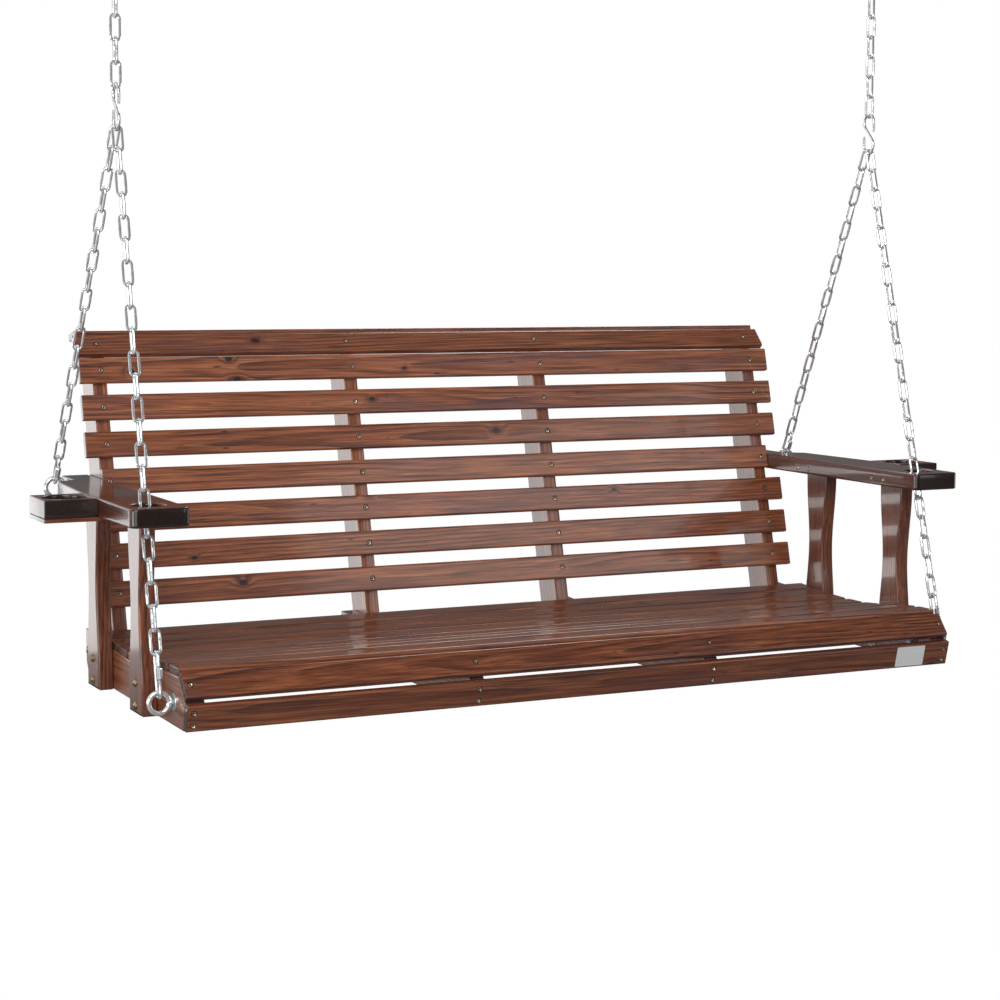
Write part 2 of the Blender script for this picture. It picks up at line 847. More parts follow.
    def material(self, name: str, grain: Grain) -> bpy.types.Material:
        """Stained wood for one piece, cut from its own part of a tree.

        Args:
            name: the material's name.
            grain: the piece's axes and the number that picks its cut.

        Returns:
            The material.
        """
        pick = np.random.default_rng(grain.turn)
        tilt = Matrix.Rotation(pick.normal(0, 0.011), 3, "Y") @ Matrix.Rotation(
            pick.normal(0, 0.013), 3, "Z")
        axes = tilt @ Matrix(grain.place.axes.tolist())
        turn = axes.to_euler()
        side = pick.choice([-1, 1]) * pick.uniform(0.0, 0.085)
        cut = np.array([pick.uniform(2, 60), side, pick.uniform(0.018, 0.06)])
        start = tuple(cut - np.array(axes) @ grain.place.origin)
        tone = grain.tone * float(pick.uniform(0.9, 1.1))
        material, w = blank_material(name)
        where = w.add("TexCoord", {}).outputs
        local = w.add("Mapping", {"Vector": where["Object"], "Location": start, "Rotation": turn})
        normal = w.add("Mapping", {"Vector": where["Normal"], "Rotation": turn},
                       vector_type="VECTOR")
        figure = w.add("Group", {}, node_tree=self.figure())
        w.tree.links.new(local.outputs[0], figure.inputs["Vector"])
        w.tree.links.new(normal.outputs[0], figure.inputs["Normal"])
        figure.inputs["Tone"].default_value = (tone, tone ** 1.22, tone ** 1.4, 1)
        w.surface(figure.outputs["Height"], 0.35, 0.25 * MM, {
            "Base Color": figure.outputs["Color"], "Roughness": figure.outputs["Roughness"],
            "IOR": 1.48, "Coat Weight": 0.6, "Coat Roughness": 0.07, "Coat IOR": 1.5})
        return material


def blank_material(name: str) -> tuple[bpy.types.Material, Wiring]:
    """A new material with an empty tree.

    Args:
        name: the material's name.

    Returns:
        The material and the wiring that fills it.
    """
    material = bpy.data.materials.new(name)
    material.use_nodes = True
    return material, Wiring(material.node_tree)


@dataclass(frozen=True)
class PlatedMetal:
    """A plated or browned metal: two tones in clouds, darker where it lies deep."""

    slot: str
    bright: Colour
    dull: Colour
    soot: Colour
    edge: Colour
    rough: tuple[float, float]
    clouds: float
    dent: float
    metal: float = 1.0

    def material(self, name: str, grain: Grain | None = None) -> bpy.types.Material:
        """The metal for one piece.

        Args:
            name: the material's name.
            grain: not used, since metal has none.

        Returns:
            The material.
        """
        material, w = blank_material(name)
        at = w.add("TexCoord", {}).outputs["Object"]
        cloud = w.noise(at, (self.clouds,) * 3, 3)
        fine = w.noise(at, (self.clouds * 7,) * 3)
        colour = w.mix(w.ramp(cloud, 0.35, 0.7), self.bright, self.dull)
        deep = w.add("Attribute", {}, attribute_name="recess").outputs["Fac"]
        colour = w.mix(w.times(deep, 0.9), colour, self.soot)
        worn = w.math("ADD", w.times(cloud, 0.6), w.times(fine, 0.4))
        w.surface(fine, 0.3, self.dent, {
            "Base Color": colour, "Roughness": w.ramp(worn, 0.3, 0.7, *self.rough),
            "Metallic": self.metal, "Specular Tint": self.edge})
        return material


@dataclass(frozen=True)
class LabelFilm:
    """Plain silvery-white film, faintly brushed along its length."""

    slot: str = "label_film"
    face: Colour = (0.70, 0.71, 0.71, 1)
    streak: Colour = (0.56, 0.57, 0.58, 1)

    def material(self, name: str, grain: Grain | None = None) -> bpy.types.Material:
        """The film for one label.

        Args:
            name: the material's name.
            grain: not used, since the film lies along X.

        Returns:
            The material.
        """
        material, w = blank_material(name)
        at = w.add("TexCoord", {}).outputs["Object"]
        brushed = w.noise(at, (25, 2600, 2600), 3)
        w.surface(brushed, 0.15, 0.05 * MM, {
            "Base Color": w.mix(w.ramp(brushed, 0.35, 0.75), self.face, self.streak),
            "Roughness": w.ramp(brushed, 0.2, 0.8, 0.3, 0.42)})
        return material


Finish = StainedWood | PlatedMetal | LabelFilm
WOOD = StainedWood()
ZINC = PlatedMetal(
    slot="zinc_steel", bright=(0.90, 0.92, 0.93, 1), dull=(0.68, 0.70, 0.72, 1),
    soot=(0.06, 0.06, 0.065, 1), edge=(0.16, 0.17, 0.18, 1), rough=(0.1, 0.2), clouds=90,
    dent=0.06 * MM, metal=0.78)
BRASS = PlatedMetal(
    slot="antique_brass", bright=(0.92, 0.79, 0.62, 1), dull=(0.60, 0.45, 0.32, 1),
    soot=(0.012, 0.009, 0.007, 1), edge=(0.2, 0.14, 0.08, 1), rough=(0.22, 0.4), clouds=160,
    dent=0.04 * MM)
BRONZE = replace(BRASS, bright=(0.46, 0.38, 0.27, 1), dull=(0.22, 0.17, 0.12, 1),
                 rough=(0.2, 0.36))
FILM = LabelFilm()
SMOOTH = math.radians(33)


def make_piece(node: str, shell: Shell, finish: Finish, grain: Grain | None = None) -> None:
    """Puts a shell in the scene in a CAD node's stead.

    Args:
        node: the node that the piece stands for.
        shell: its surface, in the frame.
        finish: what it is made of.
        grain: how it was cut, for wood.
    """
    name = f"{node}_made"
    mesh = bpy.data.meshes.new(name)
    faces = shell.quads.tolist() + [cap.tolist() for cap in shell.caps]
    mesh.from_pydata(shell.points.tolist(), [], faces)
    if shell.recess.any():
        deep = mesh.attributes.new("recess", "FLOAT", "POINT")
        deep.data.foreach_set("value", shell.recess.astype(np.float32))
    mesh.shade_smooth()
    mesh.set_sharp_from_angle(angle=SMOOTH)
    mesh.materials.append(finish.material(f"{node}_finish", grain))
    piece = bpy.data.objects.new(name, mesh)
    bpy.context.scene.collection.objects.link(piece)
    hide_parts(node)
    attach(piece, frame["nodes"][node]["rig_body"])


# ---- woodwork ----------------------------------------------------------------


@dataclass
class Screws:
    """Countersunk cross-head screws, read from the CAD's screws and laid with new heads."""

    node: str
    head: float = 3.7 * MM
    rise: float = 0.0
    below: float = 0.6 * MM
    cross_depth: float = 1.7 * MM
    widest_head: float = 12 * MM
    flush: float = 2 * MM
    shank: float = 1.9 * MM
    length: float = 34 * MM
    found: list[Array] = field(init=False)
    places: list[Place] = field(init=False, default_factory=list)

    def __post_init__(self) -> None:
        """Reads the solids of the screws."""
        self.found = solids(self.node)

    def on_face(self, place: Place, size: Array) -> Array:
        """Screws whose head lies in a board's outer face.

        Args:
            place: the board's place.
            size: the board's extents.

        Returns:
            Their middles in the board's local x and y, one a row.
        """
        spots = []
        for points in self.found:
            low, high = boxed(place.into(points))
            middle = (low + high)[:2] / 2
            upright = (high - low)[:2].max() < self.widest_head
            flush = upright and abs(high[2]) < self.flush
            if flush and abs(middle[0]) < size[0] / 2 and 0 < middle[1] < size[1]:
                spots.append(middle)
        return np.array(spots)

    def set_in(self, place: Place, spots: Array) -> list[Place]:
        """Takes screws into the set, standing at spots on a face.

        Args:
            place: the face's place.
            spots: local x and y of each screw.

        Returns:
            The screws' own places, with local z out of the wood.
        """
        heads = [Place(place.out(np.array([x, y, 0.0])), place.axes) for x, y in spots]
        self.places += heads
        return heads

    def set_from_below(self, level: float) -> None:
        """Takes every screw found into the set, its head facing down from a level.

        Args:
            level: height of the face that the heads lie in.
        """
        for points in self.found:
            low, high = boxed(points)
            foot = np.array([*(low + high)[:2] / 2, level])
            self.set_in(Place(foot, FACING_DOWN), np.zeros((1, 2)))

    def one(self) -> Shell:
        """One screw in local axes, its head's rim a little below z = 0.

        The head is a square grid whose rings are drawn out to circles. The cross lies
        along the grid's middle lines and sinks towards the axis. Below the rim a cone
        and the shank follow on.

        Returns:
            The screw's shell.
        """
        share = np.array([0.12, 0.42, 0.72, 1])
        steps = np.append(-share[::-1], share) * self.head
        x, y = (g.ravel() for g in np.meshgrid(steps, steps, indexing="xy"))
        reach = np.maximum(np.abs(x), np.abs(y))
        short = np.minimum(np.abs(x), np.abs(y))
        to_round = reach / np.hypot(x, y) - 1
        grow = 1 + to_round * np.interp(reach / self.head, share[1:3], [0, 1])
        crown = 0.25 * MM * (1 - (reach / self.head) ** 2)
        cross_half, cross_reach = 0.15 * self.head, 0.5 * self.head
        cross = (short < cross_half) & (reach < cross_reach)
        sunk = np.where(cross, np.where(reach < cross_half, 1.0, 0.8), 0.0)
        level = crown - self.below - sunk * self.cross_depth
        top = np.stack([x * grow, y * grow, level], 1)
        side = len(steps)
        at = np.arange(side * side).reshape(side, side)
        quads = np.stack([at[:-1, :-1], at[:-1, 1:], at[1:, 1:], at[1:, :-1]], -1).reshape(-1, 4)
        border = np.concatenate([at[0, :-1], at[:-1, -1], at[-1, :0:-1], at[:0:-1, 0]])
        rim = top[border]
        thin = self.shank / self.head
        lower = [(1, -1.1 * MM), (thin, -3.4 * MM), (thin, 3 * MM - self.length),
                 (0.06, -self.length)]
        drop = [rim * (width, width, 0) + (0, 0, height) for width, height in lower]
        ring = len(border)
        walls = np.concatenate([top] + drop)
        first = len(top)
        below = first + np.arange(len(drop) * ring).reshape(-1, ring)
        order = np.concatenate([border[None], below])
        up, down = order[:-1], order[1:]
        skirt = np.stack([up, down, np.roll(down, -1, 1), np.roll(up, -1, 1)], -1).reshape(-1, 4)
        deep = np.concatenate([sunk, np.zeros(len(drop) * ring)])
        return Shell(walls, np.concatenate([quads, skirt]), [order[-1][::-1]], deep)

    def build(self) -> None:
        """Lays every screw in one piece, each with its cross turned its own way."""
        screw = self.one()
        spins = np.random.default_rng(len(self.places)).uniform(0, np.pi / 2, len(self.places))
        shells = []
        for place, spin in zip(self.places, spins):
            c, s = np.cos(spin), np.sin(spin)
            turn = np.array([(c, s, 0), (-s, c, 0), (0, 0, 1)])
            lifted = place.origin + self.rise * place.axes[2]
            shells.append(screw.at(Place(lifted, turn @ place.axes)))
        make_piece(self.node, joined(shells), BRASS)


@dataclass
class Slats:
    """Straight boards with rounded long edges, eased ends and a well for every screw."""

    nodes: list[str]
    screws: Screws
    turn: int
    tone: float = 1.0
    edge: float = 3.6 * MM
    end: float = 1.2 * MM

    def section(self, size: Array, rows: Array) -> tuple[Array, Array]:
        """The board's section, anticlockwise as seen from its +X end.

        Its four corners are quarter circles: centre plus r (cos a, sin a).

        Args:
            size: the board's extents.
            rows: local y of the screw rows.

        Returns:
            Points of the section, and the outward normal at each.
        """
        _, width, thick = size
        r = self.edge
        flat = np.unique(np.concatenate([[r + SUPPORT, width - r - SUPPORT],
                                         (rows[:, None] + WELL_STEPS).ravel()]).round(7))
        pieces = [np.stack([[r + SUPPORT, width / 2, width - r - SUPPORT], [-thick] * 3], 1)]
        normals = [np.tile((0.0, -1.0), (3, 1))]
        for centre, start in (((width - r, r - thick), -90), ((width - r, -r), 0),
                              ((r, -r), 90), ((r, r - thick), 180)):
            turn = np.radians(start + np.linspace(0, 90, 6))
            way = np.stack([np.cos(turn), np.sin(turn)], 1)
            pieces.append(np.array(centre) + r * way)
            normals.append(way)
            if start == 0:
                pieces.append(np.stack([flat[::-1], flat * 0], 1))
                normals.append(np.tile((0.0, 1.0), (len(flat), 1)))
        return np.concatenate(pieces), np.concatenate(normals)

    def shell(self, place: Place, size: Array, spots: Array) -> Shell:
        """One board.

        The section is carried along x. Near each end it shrinks by e(1 - cos a) while
        x still grows by e sin a.

        Args:
            place: the board's place.
            size: its extents.
            spots: local x and y of its screws.

        Returns:
            The board in the frame, with its wells.
        """
        half = size[0] / 2
        columns, rows = np.unique(spots[:, 0].round(5)), np.unique(spots[:, 1].round(5))
        outline, normal = self.section(size, rows)
        turn = np.linspace(0, np.pi / 2, 5)
        end_x = half - self.end * (1 - np.sin(turn))
        end_in = self.end * (1 - np.cos(turn))
        last = half - self.end - SUPPORT * 2
        inner = np.append((columns[:, None] + WELL_STEPS).ravel(), [-last, last])
        inner = np.unique(inner.round(7))
        x = np.concatenate([-np.append(end_x, half)[::-1], inner, end_x, [half]])
        lead = np.append(end_in, self.end + SUPPORT)
        inset = np.concatenate([lead[::-1], inner * 0, lead])
        section = outline[None] - inset[:, None, None] * normal[None]
        along = np.broadcast_to(x[:, None, None], section.shape[:2] + (1,))
        board = tube(np.concatenate([along, section], 2)).at(place)
        return sink_wells(board, self.screws.set_in(place, spots))

    def build(self) -> None:
        """Makes every board of the set."""
        for count, node in enumerate(self.nodes):
            place, size = board_place(node)
            spots = self.screws.on_face(place, size)
            grain = Grain(place, self.turn + count, self.tone)
            make_piece(node, self.shell(place, size, spots), WOOD, grain)


@dataclass
class Plates:
    """Sawn plates with rounded rims: rails, stiles, posts, arms and cup holders."""

    nodes: list[str]
    lay: Lay
    along: Array
    turn: int
    rim: float = 2 * MM
    corner: float = 1.5 * MM
    screws: Screws | None = None
    tone: float = 1.0

    def wells(self, node: str) -> list[Place]:
        """Places of the screws that are driven into a plate's side, along X.

        Args:
            node: the plate's name.

        Returns:
            Places on the plate's side towards the middle, with local z out of it.
        """
        low, high = cad_box(node)
        side = side_of(low)
        face = low[0] if side > 0 else high[0]
        axes = np.array([(0, 1, 0), (0, 0, -side), (-side, 0, 0)])
        found = []
        for points in self.screws.found if self.screws else []:
            first, last = boxed(points)
            if side_of(first) == side:
                found.append(Place(np.array([face, *(first + last)[1:] / 2]), axes))
        return found

    def build(self) -> None:
        """Makes every plate of the set."""
        place = self.lay.place()
        for count, node in enumerate(self.nodes):
            loops, low, high = face_loops(node, place)
            loops = [eased(loop, self.corner) for loop in loops]
            wells = self.wells(node)
            middle = None
            if wells:
                spots = np.array([place.into(w.origin) for w in wells])
                loops[0] = with_stations(loops[0], spots[:, :2])
                middle = np.unique((spots[:, 2, None] - low + WELL_STEPS).ravel().round(7))
            shell = plate(loops, low, edge_profile(high - low, self.rim, middle)).at(place)
            if wells:
                shell = sink_wells(shell, wells)
                self.screws.places += wells
            first, last = cad_box(node)
            across = np.cross(place.axes[2], self.along)
            cut = Place((first + last) / 2, np.array([self.along, across, place.axes[2]]))
            make_piece(node, shell, WOOD, Grain(cut, self.turn + count, self.tone))


# ---- chains and hardware -----------------------------------------------------


@dataclass
class Chain:
    """Welded oblong links of round wire, one for each solid of the CAD's strands."""

    nodes: list[str]
    wire: float = 5 * MM
    bead: float = 0.35 * MM

    def link(self, length: float, width: float) -> Shell:
        """One link in local axes, standing along z in the x-z plane.

        Two half circles are joined by straight legs, and the wire swells a little
        where one leg is welded.

        Args:
            length: length over all.
            width: width over all.

        Returns:
            The link.
        """
        bend = (width - self.wire) / 2
        straight = (length - self.wire) / 2 - bend
        up = np.array([-0.6, -0.12, 0.0, 0.12, 0.6]) * straight
        path = np.concatenate([arc((0, straight), bend, 0, 180, 8),
                               np.stack([[-bend] * 3, [0.5 * straight, 0, -0.5 * straight]], 1),
                               arc((0, -straight), bend, 180, 360, 8),
                               np.stack([[bend] * 5, up], 1)])
        radius = np.full(len(path), self.wire / 2)
        radius[-5:] += self.bead * np.array([0, 0.6, 1, 0.6, 0])
        path = np.insert(path, 1, 0.0, axis=1)
        return swept(path, np.array([0, 1, 0]), radius, 10, closed=True)

    def build(self) -> None:
        """Makes every strand, every other pair of links turned half round."""
        for node in self.nodes:
            links = []
            for count, points in enumerate(sorted(solids(node), key=lambda p: p[:, 2].mean())):
                place, size = snug_place(points)
                flip = (-1) ** (count // 2)
                place = Place(place.origin, place.axes * np.array([[flip], [flip], [1]]))
                links.append(self.link(size[2], size[0]).at(place))
            make_piece(node, joined(links), ZINC)


@dataclass
class SHooks:
    """S-hooks bent from one wire, with rounded ends."""

    nodes: list[str]
    bow: float = 16 * MM
    lean: float = 45
    mouth: float = 8 * MM

    def wire(self, radius: float) -> Shell:
        """The hook in local axes, in the y-z plane about its middle.

        Half of it is a straight stem, a bow of 180 + lean degrees and a short leg with
        a round tip, where the wire gets thinner by the cosine of an angle while it runs
        on by the sine. The other half is the same turned half round.

        Args:
            radius: wire radius.

        Returns:
            The hook.
        """
        c, s = math.cos(math.radians(self.lean)), math.sin(math.radians(self.lean))
        span = 2 * self.bow / s
        stem = span / 2 * c
        bend = arc((self.bow, stem), self.bow, 180, -self.lean, 18)
        way = np.array([-s, -c])
        tip = np.radians(np.linspace(0, 80, 4)[1:])
        reach = (span - self.mouth) / 2
        leg = np.append(reach / 2 - radius, reach - radius * (1 - np.sin(tip)))
        half = np.concatenate([[(0, 0.5 * stem)], bend, bend[-1] + leg[:, None] * way])
        path = np.concatenate([-half[::-1], [(0, 0)], half])
        taper = np.ones(len(half))
        taper[-len(tip):] = np.cos(tip)
        wide = radius * np.concatenate([taper[::-1], [1], taper])
        path = path @ np.array([(c, s), (-s, c)]) * (-1, 1)
        return swept(np.insert(path, 0, 0.0, axis=1), np.array([1, 0, 0]), wide, 12, closed=False)

    def build(self) -> None:
        """Makes both hooks."""
        for node in self.nodes:
            low, high = cad_box(node)
            hook = self.wire((high[0] - low[0]) / 2)
            make_piece(node, hook.at(Place((low + high) / 2, np.eye(3))), ZINC)


@dataclass
class QuickLinks:
    """Oblong screw links, each with a hexagonal sleeve and the thread that it runs on."""

    nodes: list[str]
    wire: float = 6 * MM
    thread: float = 0.22 * MM
    pitch: float = 1.5 * MM
    bare_thread: float = 5.5 * MM
    longest_sleeve: float = 40 * MM

    def loop(self, length: float, width: float, leg: Array) -> Shell:
        """The loop of wire, with thread ridges on the sleeve's leg.

        Args:
            length: length over all.
            width: width over all.
            leg: local x of the leg that the sleeve is on, and half the sleeve's length.

        Returns:
            The loop in local axes, along z in the x-z plane.
        """
        bend = (width - self.wire) / 2
        straight = (length - self.wire) / 2 - bend
        side = side_of(leg)
        reach = min(leg[1] + self.bare_thread, 0.9 * straight)
        steps = np.arange(-reach, reach, self.pitch / 2)
        path = np.concatenate([arc((0, straight), bend, 0, 180, 12), [(-bend, 0)],
                               arc((0, -straight), bend, 180, 360, 12),
                               np.stack([steps * 0 + bend, steps], 1)])
        radius = np.full(len(path), self.wire / 2)
        ridge = self.thread * np.where(np.arange(len(steps)) % 2, 1, -1)
        radius[-len(steps):] += ridge * (np.abs(steps) > leg[1] - 1 * MM)
        path = np.insert(path * (side, 1), 1, 0.0, axis=1)
        return swept(path, np.array([0, side, 0]), radius, 12, closed=True)

    def sleeve(self, across: float, length: float) -> Shell:
        """The sleeve, a long hexagonal nut with chamfered ends.

        Args:
            across: width across its flats.
            length: length over all.

        Returns:
            The sleeve in local axes, along z.
        """
        corner = across / math.sqrt(3)
        half, cut = length / 2, 0.9 * MM
        return turned([(corner * 0.84, -half), (corner, cut - half), (corner, half - cut),
                       (corner * 0.84, half)], 6)

    def build(self) -> None:
        """Makes every quick link."""
        for node in self.nodes:
            parts = []
            found = [(points, *snug_place(points)) for points in solids(node)]
            sleeves = [f[:2] for f in found if f[2][2] <= self.longest_sleeve]
            for _, place, size in found:
                if size[2] <= self.longest_sleeve:
                    continue
                away = [np.linalg.norm(seat.origin - place.origin) for _, seat in sleeves]
                points, seat = sleeves[int(np.argmin(away))]
                extent = np.ptp(place.into(points), axis=0)
                leg = np.array([place.into(seat.origin)[0], extent[2] / 2])
                loop = self.loop(size[2], size[0], leg)
                sleeve = self.sleeve(extent[:2].min(), extent[2])
                parts += [loop.at(place), sleeve.at(Place(seat.origin, place.axes))]
            make_piece(node, joined(parts), ZINC)


def threaded(low: float, high: float, radius: float, pitch: float, deep: float) -> Array:
    """Profile of a threaded stretch: the radius falls by its depth at every other step."""
    steps = np.arange(low, high, pitch / 2)
    return np.stack([radius - deep * (np.arange(len(steps)) % 2), steps], 1)


@dataclass
class Eyes:
    """Bent eyes: a ring, a neck that flows into it, and a threaded shank."""

    wire: float = 4.5 * MM
    ring: float = 17.5 * MM

    @property
    def reach(self) -> float:
        """From the ring's centre to its outside."""
        return self.ring + self.wire

    def one(self, shank: float, plain: float, lag: bool) -> Shell:
        """An eye in local axes: ring in the x-z plane, shank along -z.

        Args:
            shank: length of the shank below the ring's centre.
            plain: length of its plain part below the ring's centre.
            lag: whether it is a coarse wood thread with a point.

        Returns:
            The eye.
        """
        circle = np.insert(arc((0, 0), self.ring, 0, 350, 35), 1, 0.0, axis=1)
        ring = swept(circle, np.array([0, -1, 0]), self.wire, 12, closed=True)
        pitch, deep = (3.2 * MM, 0.9 * MM) if lag else (1.25 * MM, 0.4 * MM)
        rod = threaded(-shank + 2 * MM, -plain, self.wire, pitch, deep)
        point = [(0.4 * MM, -shank), (self.wire * 0.6, -shank + 1 * MM)]
        if lag:
            tapered = 14 * MM
            rod[:, 0] *= np.interp(rod[:, 1], [-shank, -shank + tapered], [0.35, 1])
            point = [(0.3 * MM, -shank)]
        neck = [(self.wire, -plain), (self.wire, -self.reach - 1 * MM),
                (self.wire * 1.22, -self.reach + 1.4 * MM),
                (self.wire * 1.3, -self.ring - 0.5 * MM),
                (self.wire * 0.9, -self.ring + 1.5 * MM)]
        return joined([ring, turned(np.concatenate([point, rod, neck]), 16)])


def across_x(outward: float) -> Array:
    """Axes for hardware that lies along X: local z points outwards, to +X or -X."""
    return np.array([(0, 0, -outward), (0, 1, 0), (outward, 0, 0)], float)


def hex_nut(across: float, low: float, high: float, washer: float, thin: float) -> list[Shell]:
    """A washer with rounded rims and a chamfered nut on it, both about local z.

    Args:
        across: the nut's width across its flats.
        low: local z where the washer lies.
        high: local z of the nut's far face, above low.
        washer: the washer's diameter.
        thin: the washer's thickness.

    Returns:
        The washer and the nut.
    """
    corner = across / math.sqrt(3)
    rim, ease = washer / 2, 0.35 * MM
    disc = [(rim * 0.3, low), (rim - ease, low), (rim, low + ease), (rim, low + thin - ease),
            (rim - ease, low + thin), (rim * 0.3, low + thin)]
    foot, cut = low + thin, 0.12 * (high - low)
    nut = [(corner * 0.88, foot), (corner, foot + cut), (corner, high - cut), (corner * 0.86, high),
           (corner * 0.5, high)]
    return [turned(disc, 32), turned(nut, 6)]


@dataclass(frozen=True)
class Lying:
    """The lowest and highest corner of a solid that lies along X."""

    low: Array
    high: Array

    @property
    def half(self) -> float:
        """Half its length."""
        return (self.high[0] - self.low[0]) / 2

    @property
    def across(self) -> float:
        """Its width."""
        return self.high[1] - self.low[1]

    def seat(self, facing: float = 1.0, shift: float = 0.0) -> Place:
        """A place in the solid's middle, or further on along local z.

        Args:
            facing: 1 where local z points outwards, -1 where it points inwards.
            shift: how far along local z the place lies from the middle.

        Returns:
            The place.
        """
        seat = Place((self.low + self.high) / 2, across_x(side_of(self.low) * facing))
        return Place(seat.out(np.array([0, 0, shift])), seat.axes)


@dataclass
class BenchHardware:
    """Eye bolts, domed frame bolts, and every nut and washer on the bench."""

    eyes: Eyes
    eye_collar: float = 7 * MM
    bolt_shank: float = 3 * MM
    bolt_thread: float = 14 * MM
    bolt_head: float = 4 * MM
    frame_nut: float = 10 * MM
    frame_washer: float = 1.5 * MM
    eye_nut: float = 15 * MM
    eye_washer: float = 2.5 * MM

    def lay(self, node: str, finish: Finish, one: Callable[[Lying], list[Shell]]) -> None:
        """Makes a node of hardware that lies along X.

        Args:
            node: the CAD node.
            finish: what it is made of.
            one: gives the shells that stand for one solid of the node.
        """
        shells = []
        for points in solids(node):
            shells += one(Lying(*boxed(points)))
        make_piece(node, joined(shells), finish)

    def eye_bolt(self, solid: Lying) -> list[Shell]:
        """An eye bolt, its ring standing beside a rail or an arm.

        Args:
            solid: the eye bolt that it stands for.

        Returns:
            The eye bolt alone.
        """
        reach = self.eyes.reach
        eye = self.eyes.one(2 * solid.half - reach, reach + self.eye_collar, lag=False)
        return [eye.at(solid.seat(shift=solid.half - reach))]

    def frame_bolt(self, solid: Lying) -> list[Shell]:
        """A bolt through a post, a rail or a stile.

        Its dome is a spherical cap on a short straight rim, and the shank's far end is
        threaded.

        Args:
            solid: the bolt that it stands for.

        Returns:
            The bolt alone.
        """
        half, head, shank = solid.half, solid.across, self.bolt_shank
        foot, rim, thread_end = half - self.bolt_head, 0.7 * MM, self.bolt_thread - half
        rise = half - foot - rim
        ball = (head**2 / 4 + rise**2) / (2 * rise)
        angle = np.linspace(math.asin(head / 2 / ball), 0.02, 7)
        dome = np.stack([ball * np.sin(angle), half - ball * (1 - np.cos(angle))], 1)
        rod = threaded(1 * MM - half, thread_end, shank, 1 * MM, 0.3 * MM)
        under = [(shank, thread_end), (shank, foot), (head / 2 - 0.3 * MM, foot),
                 (head / 2, foot + 0.3 * MM)]
        bolt = turned(np.concatenate([[(shank * 0.7, -half)], rod, under, dome]), 28)
        return [bolt.at(solid.seat())]

    def nut(self, across: float, thin: float, solid: Lying) -> list[Shell]:
        """A nut on its washer, or a washer alone where the solid is no thicker.

        Args:
            across: width of the nut across its flats.
            thin: thickness of the washer.
            solid: what they stand for.

        Returns:
            The washer, and the nut if there is one.
        """
        alone = 2 * solid.half < thin * 1.5
        washer_and_nut = hex_nut(across, -solid.half, solid.half, solid.across, thin)
        if alone:
            return [washer_and_nut[0].at(solid.seat())]
        return [part.at(solid.seat(facing=-1.0)) for part in washer_and_nut]

    def build(self) -> None:
        """Makes all of the bench's metal apart from its screws."""
        self.lay("eye_bolts", ZINC, self.eye_bolt)
        self.lay("frame_bolts", BRONZE, self.frame_bolt)
        self.lay("frame_nuts", ZINC, partial(self.nut, self.frame_nut, self.frame_washer))
        self.lay("eye_nuts", ZINC, partial(self.nut, self.eye_nut, self.eye_washer))


@dataclass
class CeilingEyes:
    """Eye screws that go up into the ceiling, each with a collar above its ring."""

    nodes: list[str]
    eyes: Eyes
    collar: float = 4 * MM
    plain: float = 4 * MM

    def build(self) -> None:
        """Makes both eyes, rings hanging down and threads up."""
        for node in self.nodes:
            low, high = cad_box(node)
            reach = self.eyes.reach
            centre = np.array([*(low + high)[:2] / 2, low[2] + reach])
            eye = self.eyes.one(high[2] - centre[2], reach + self.collar + self.plain, lag=True)
            rim, ease = 8 * MM, 0.5 * MM
            base = -reach - self.collar
            outline = [(rim * 0.4, base), (rim - ease, base), (rim, base + ease),
                       (rim, -reach - ease), (rim - 2 * ease, -reach), (rim * 0.4, -reach)]
            hung = joined([eye, turned(outline, 32)]).at(Place(centre, FACING_DOWN))
            make_piece(node, hung, ZINC)


@dataclass
class Label:
    """Bare rounded plate on the apron's right end."""

    node: str = "blank_label"
    corner: float = 2.5 * MM

    def build(self) -> None:
        """Makes the label in the apron's own axes."""
        apron, _ = board_place("apron")
        points, _ = cad_mesh(self.node)
        low, high = boxed(apron.into(points))
        (x0, y0), (x1, y1) = low[:2], high[:2]
        outline = np.array([(x0, y0), (x1, y0), (x1, y1), (x0, y1)])
        profile = edge_profile(high[2] - low[2], 0.15 * MM)
        shell = plate([eased(outline, self.corner, 6)], low[2], profile)
        make_piece(self.node, shell.at(apron), FILM)


# ---- studio ------------------------------------------------------------------


@dataclass(frozen=True)
class Softbox:
    """A square lamp that faces the bench from a direction at a distance."""

    name: str
    direction: tuple[float, float, float]
    distance: float
    side: float
    watts: float

    def build(self, target: Vector) -> None:
        """Hangs the lamp, unseen by the camera.

        Args:
            target: the point that it faces.
        """
        lamp = bpy.data.lights.new(self.name, "AREA")
        lamp.shape, lamp.size, lamp.energy = "SQUARE", self.side, self.watts
        holder = bpy.data.objects.new(self.name, lamp)
        away = Vector(self.direction).normalized()
        holder.location = target + away * self.distance
        holder.rotation_euler = away.to_track_quat("Z", "Y").to_euler()
        holder.visible_camera = False
        bpy.context.scene.collection.objects.link(holder)


